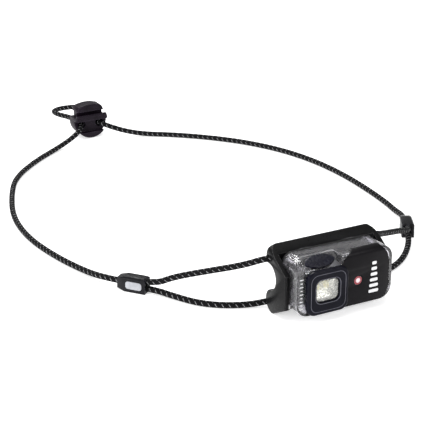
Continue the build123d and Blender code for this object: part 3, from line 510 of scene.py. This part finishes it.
def cord_mesh(name, points, length):
    """A braided tube along the points, with a map of its length and girth."""
    step = length / (len(points) - 1)
    mesh = bpy.data.meshes.new(name)
    work = bmesh.new()
    cord_map = work.loops.layers.uv.new("cord_map")
    side_axis = None
    rings = []
    for number, point in enumerate(points):
        ahead = (points[min(number + 1, len(points) - 1)] - points[max(number - 1, 0)]).normalized()
        if side_axis is None:
            side_axis = ahead.orthogonal().normalized()
        side_axis = (side_axis - ahead * side_axis.dot(ahead)).normalized()
        other_axis = ahead.cross(side_axis)
        ring = []
        for side in range(BRAID_SIDES):
            angle = 2 * pi * side / BRAID_SIDES
            radius = CORD_D / 2 - BRAID_DEPTH * braid_depth(number * step, angle)
            ring.append(work.verts.new(point + (side_axis * cos(angle) + other_axis * sin(angle)) * radius))
        rings.append(ring)
    for number in range(len(rings) - 1):
        for side in range(BRAID_SIDES):
            following = (side + 1) % BRAID_SIDES
            corners = (rings[number][side], rings[number][following],
                       rings[number + 1][following], rings[number + 1][side])
            face = work.faces.new(corners)
            face.smooth = True
            places = ((number, side), (number, side + 1), (number + 1, side + 1), (number + 1, side))
            for loop, (ring_number, ring_side) in zip(face.loops, places):
                loop[cord_map].uv = (ring_number * step / MM, ring_side / BRAID_SIDES)
    work.faces.new(list(reversed(rings[0])))
    work.faces.new(rings[-1])
    work.to_mesh(mesh)
    work.free()
    return mesh


def add_cord(name, route):
    """One cord: braided along its route, standing for the CAD node of the same name."""
    points, length = even_steps(smooth_line(name + "_line", route), BRAID_STEP)
    cord = new_object(name + "_braid", cord_mesh(name + "_braid", points, length))
    cord.data.materials.append(finishes["cord"])
    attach(cord, BODY_OF[name])
    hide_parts(name)


def add_cords():
    """Four strands from the cradle to the yokes, and the band from yoke to yoke through the lock."""
    for name, between in STRAND_ROUTES.items():
        side = name.rsplit("_", 1)[1]
        upper = "upper" in name
        stop = UPPER_STOP if upper else LOWER_STOP
        height = UPPER_STRAND_Z if upper else LOWER_STRAND_Z
        start = (-stop[0], *stop[1:]) if side == "left" else stop
        route = [start, *between, *yoke_points(side, height, *STRAND_RUN)]
        add_cord(name, route)
    inside, outside = BAND_RUN
    route = yoke_points("left", BAND_Z, inside, outside) + BAND_ROUTE
    route += yoke_points("right", BAND_Z, outside, inside)
    on_band = ["lock_barrel_piece", "lock_button_piece", "lock_spring"]
    for side in ("left", "right"):
        on_band += [f"yoke_{side}_piece", f"yoke_{side}_crimp", f"yoke_{side}_plate"]
    add_cord("headband_cord", route)


# ---- pieces that keep the frame's shape ----------------------------------------------------------
JOIN_WITHIN = 0.002 * MM
FLAT_WITHIN = radians(1.0)
SOFT_EDGE_FROM = radians(30)


def soften_edges(piece, width, steps=2):
    """Rounds a piece's sharp edges and turns the result into its own mesh."""
    bevel = piece.modifiers.new("soften", "BEVEL")
    bevel.width = width
    bevel.segments = steps
    bevel.limit_method = "ANGLE"
    bevel.angle_limit = SOFT_EDGE_FROM
    bevel.use_clamp_overlap = True
    mesh = settled_mesh(piece)
    piece.modifiers.clear()
    piece.data = mesh
    mesh.name = piece.name


def dressed(name, finish, soften=0.0, smooth=35, steps=2):
    """A clean copy of a CAD node with softened edges, which stands for it."""
    mesh = frame["nodes"][name].data.copy()
    work = bmesh.new()
    work.from_mesh(mesh)
    bmesh.ops.remove_doubles(work, verts=work.verts, dist=JOIN_WITHIN)
    bmesh.ops.dissolve_limit(work, angle_limit=FLAT_WITHIN, verts=work.verts, edges=work.edges)
    work.to_mesh(mesh)
    work.free()
    piece = new_object(name + "_piece", mesh)
    mesh.materials.clear()
    mesh.materials.append(finishes[finish])
    if soften:
        soften_edges(piece, soften, steps)
    piece.data.shade_smooth()
    piece.data.set_sharp_from_angle(angle=radians(smooth))
    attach(piece, BODY_OF[name])
    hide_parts(name)
    return piece


def refinish(name, finish):
    """A CAD node that stays as it is, with its own finish."""
    frame["nodes"][name].data.materials.clear()
    frame["nodes"][name].data.materials.append(finishes[finish])


# ---- added pieces --------------------------------------------------------------------------------
def round_rectangle(middle_x, middle_y, width, height, corner, steps=6):
    """The outline of a rectangle with round corners, counter-clockwise."""
    points = []
    for number, (side_x, side_y) in enumerate(((1, 1), (-1, 1), (-1, -1), (1, -1))):
        centre_x = middle_x + side_x * (width / 2 - corner)
        centre_y = middle_y + side_y * (height / 2 - corner)
        for step in range(steps + 1):
            angle = pi / 2 * (number + step / steps)
            points.append((centre_x + corner * cos(angle), centre_y + corner * sin(angle)))
    return points


def plate(name, outlines, thickness, axes, place, finish, body, soften=0.0):
    """Thin flat shapes in one piece: each outline in its own plane, thickened along the third axis."""
    mesh = bpy.data.meshes.new(name)
    work = bmesh.new()
    right, up, out = (Vector(axis).normalized() for axis in axes)
    for outline in outlines:
        lower = [work.verts.new(Vector(place) + right * x + up * y) for x, y in outline]
        upper = [work.verts.new(Vector(place) + right * x + up * y + out * thickness) for x, y in outline]
        work.faces.new(list(reversed(lower)))
        work.faces.new(upper)
        for number in range(len(outline)):
            after = (number + 1) % len(outline)
            work.faces.new((lower[number], lower[after], upper[after], upper[number]))
    bmesh.ops.recalc_face_normals(work, faces=work.faces)
    work.to_mesh(mesh)
    work.free()
    piece = new_object(name, mesh)
    mesh.materials.append(finishes[finish])
    if soften:
        soften_edges(piece, soften)
    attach(piece, body)


def rim(name, outline, depth, thickness, finish, body):
    """A thin raised line round an outline on the lamp's front, at the depth y."""
    data = bpy.data.curves.new(name, "CURVE")
    data.dimensions = "3D"
    data.bevel_depth = thickness / 2
    data.bevel_resolution = 3
    spline = data.splines.new("POLY")
    spline.points.add(len(outline) - 1)
    for control, (x, z) in zip(spline.points, outline):
        control.co = (x, depth, z, 1)
    spline.use_cyclic_u = True
    holder = new_object(name + "_line", data)
    mesh = settled_mesh(holder)
    bpy.data.objects.remove(holder)
    piece = new_object(name, mesh)
    mesh.materials.clear()
    mesh.materials.append(finishes[finish])
    mesh.shade_smooth()
    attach(piece, body)


def add_rims():
    """The bezel's rim lines: one round the lens and one just inside its outer edge."""
    lens_margin, lens_corner, lens_line, lens_sink = 1.4 * MM, 2.8 * MM, 0.34 * MM, 0.02 * MM
    edge_margin, edge_corner, edge_line, edge_sink = 3.0 * MM, 3.0 * MM, 0.26 * MM, 0.04 * MM
    low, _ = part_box("lens_bezel")
    x, z, width, height = front_of("beam_lens")
    lens = round_rectangle(x, z, width + lens_margin, height + lens_margin, lens_corner)
    rim("lens_rim", lens, low.y + lens_sink, lens_line, "rim", "lamp_head")
    x, z, width, height = front_of("lens_bezel")
    outer = round_rectangle(x, z, width - edge_margin, height - edge_margin, edge_corner)
    rim("bezel_rim", outer, low.y + edge_sink, edge_line, "rim", "lamp_head")


def add_marks():
    """Plain printed marks: a stack of brightness bars on the panel and ticks up the clear case."""
    front = ((1, 0, 0), (0, 0, 1), (0, -1, 0))
    ink_t = 0.03 * MM
    panel_low, panel_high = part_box("front_panel")
    bar_x, bar_z, bar_step = panel_high.x - 7.1 * MM, panel_low.z + 4.1 * MM, 2.4 * MM
    bar_w, bar_less, bar_h, bar_corner = 4.6 * MM, 0.5 * MM, 1.35 * MM, 0.5 * MM
    bars = [
        round_rectangle(bar_x, bar_z + bar_step * number, bar_w - bar_less * number, bar_h, bar_corner)
        for number in range(6)
    ]
    plate("panel_marks", bars, ink_t, front, (0, panel_low.y, 0), "ink", "lamp_head")
    shell_low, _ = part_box("clear_shell")
    tick_x, tick_z, tick_step = shell_low.x + 2.1 * MM, shell_low.z + 3.6 * MM, 1.55 * MM
    long_tick, short_tick, tick_h, tick_corner = 1.7 * MM, 1.0 * MM, 0.45 * MM, 0.2 * MM
    ticks = []
    for number in range(9):
        tick_w = long_tick if number % 2 == 0 else short_tick
        ticks.append(round_rectangle(tick_x, tick_z + tick_step * number, tick_w, tick_h, tick_corner))
    plate("case_ticks", ticks, ink_t, front, (0, shell_low.y, 0), "ink", "lamp_head")


def add_yoke_plates():
    """A plain pale plate let into the outer flank of each yoke."""
    plate_l, plate_h, plate_corner, plate_t, plate_soft = 7.2 * MM, 3.3 * MM, 1.2 * MM, 0.16 * MM, 0.05 * MM
    ahead_by, up_by, out_by = 5.0 * MM, 3.1 * MM, 2.66 * MM
    outline = [round_rectangle(0, 0, plate_l, plate_h, plate_corner)]
    for side in ("left", "right"):
        foot, nose = (Vector(point) * MM for point in yoke_points(side, 0, 0, YOKE_L))
        ahead = (nose - foot).normalized()
        out = UP.cross(ahead)
        # the outer flank is the one that faces the front
        if out.y > 0:
            out = -out
        middle = foot + ahead * ahead_by + UP * up_by + out * out_by
        plate(f"yoke_{side}_plate", outline, plate_t, (UP.cross(out), UP, out), middle, "plate",
              BODY_OF[f"yoke_{side}"], soften=plate_soft)


# ---- the model -----------------------------------------------------------------------------------
# each edge colour below is a painted highlight on that finish's sharp edges
finishes = {
    "cord": braided_yarn(),
    "cradle": moulded_plastic("cradle_plastic", (0.003, 0.003, 0.0033), (0.007, 0.007, 0.0075), 0.3,
                              edge=(0.16, 0.16, 0.165)),
    "case": moulded_plastic("case_plastic", (0.008, 0.008, 0.009), (0.016, 0.016, 0.018), 0.4),
    "panel": moulded_plastic("panel_plastic", (0.004, 0.0035, 0.0045), (0.008, 0.007, 0.009), 0.34,
                             grain=6.0),
    "bezel": moulded_plastic("bezel_plastic", (0.003, 0.003, 0.007), (0.006, 0.006, 0.012), 0.22,
                             grain=4.0, depth=0.004 * MM, edge=(0.10, 0.10, 0.14), shine=0.09),
    "rim": moulded_plastic("bezel_rim", (0.07, 0.07, 0.09), (0.12, 0.12, 0.15), 0.2,
                           depth=0.003 * MM, shine=0.4),
    "button": moulded_plastic("button_rubber", (0.005, 0.005, 0.011), (0.011, 0.011, 0.022), 0.26,
                              grain=7.0, depth=0.004 * MM, edge=(0.10, 0.10, 0.14), shine=0.24),
    "rubber": moulded_plastic("seal_rubber", (0.010, 0.010, 0.010), (0.022, 0.022, 0.022), 0.6),
    "yoke": moulded_plastic("yoke_plastic", (0.004, 0.004, 0.005), (0.010, 0.010, 0.013), 0.3,
                            edge=(0.10, 0.10, 0.12), shine=0.15),
    "plate": moulded_plastic("plate_paint", (0.34, 0.35, 0.38), (0.52, 0.53, 0.56), 0.35, grain=5.0),
    "lock": moulded_plastic("lock_plastic", (0.005, 0.003, 0.006), (0.014, 0.009, 0.016), 0.4,
                            grain=3.0, depth=0.06 * MM, edge=(0.10, 0.08, 0.12)),
    "foam": moulded_plastic("pad_foam", (0.020, 0.020, 0.021), (0.050, 0.050, 0.052), 0.8,
                            grain=3.0, depth=0.08 * MM),
    "board": moulded_plastic("board_mask", (0.010, 0.018, 0.014), (0.018, 0.030, 0.022), 0.3),
    "board_white": moulded_plastic("white_board_mask", (0.72, 0.72, 0.70), (0.85, 0.85, 0.83), 0.35),
    "switch": moulded_plastic("switch_plastic", (0.05, 0.05, 0.05), (0.10, 0.10, 0.10), 0.4),
    "clear": clear_plastic(),
    "lens": dimpled_lens(),
    "phosphor": glowing_die(),
    "red": red_signal(*front_of("red_window")[:2]),
    "ink": printed_white(),
    "steel": bare_metal("steel", (0.50, 0.50, 0.51), (0.68, 0.68, 0.69), 0.25),
    "foil": bare_metal("cell_foil", (0.42, 0.43, 0.45), (0.66, 0.67, 0.70), 0.35, streak=1.0),
    "mirror": bare_metal("mirror_coat", (0.88, 0.88, 0.88), (0.95, 0.95, 0.95), 0.12),
    "brass": bare_metal("contact_plating", (0.62, 0.52, 0.30), (0.78, 0.68, 0.42), 0.3),
}

add_camera()
add_studio()

dressed("cradle", "cradle", soften=0.22 * MM)
dressed("rear_case", "case")
dressed("front_panel", "panel", soften=0.1 * MM)
dressed("lens_bezel", "bezel", soften=0.12 * MM)
dressed("power_button", "button", smooth=50)
dressed("clear_shell", "clear", soften=0.12 * MM)
dressed("beam_lens", "lens", smooth=40)
dressed("red_window", "red")
dressed("lock_barrel", "lock", soften=0.2 * MM)
dressed("lock_button", "lock", soften=0.15 * MM)
for side in ("left", "right"):
    dressed(f"yoke_{side}", "yoke", soften=0.2 * MM)
pad = dressed("forehead_pad", "foam", soften=0.5 * MM, steps=4)
dressed("port_flap", "rubber", soften=0.15 * MM)
for name, finish in {
    "tilt_pins": "steel", "friction_washers": "steel", "strand_ferrules": "steel", "case_seal": "rubber",
    "case_screws": "steel", "reflector": "mirror", "led_board": "board_white", "white_leds": "phosphor",
    "red_led": "red", "circuit_board": "board", "tact_switch": "switch", "battery_cell": "foil",
    "cell_contacts": "brass", "cell_cushion": "foam", "charging_port": "steel", "button_seal": "rubber",
    "yoke_left_crimp": "steel", "yoke_right_crimp": "steel", "lock_spring": "steel",
}.items():
    refinish(name, finish)
add_marks()
add_rims()
add_yoke_plates()
add_cords()
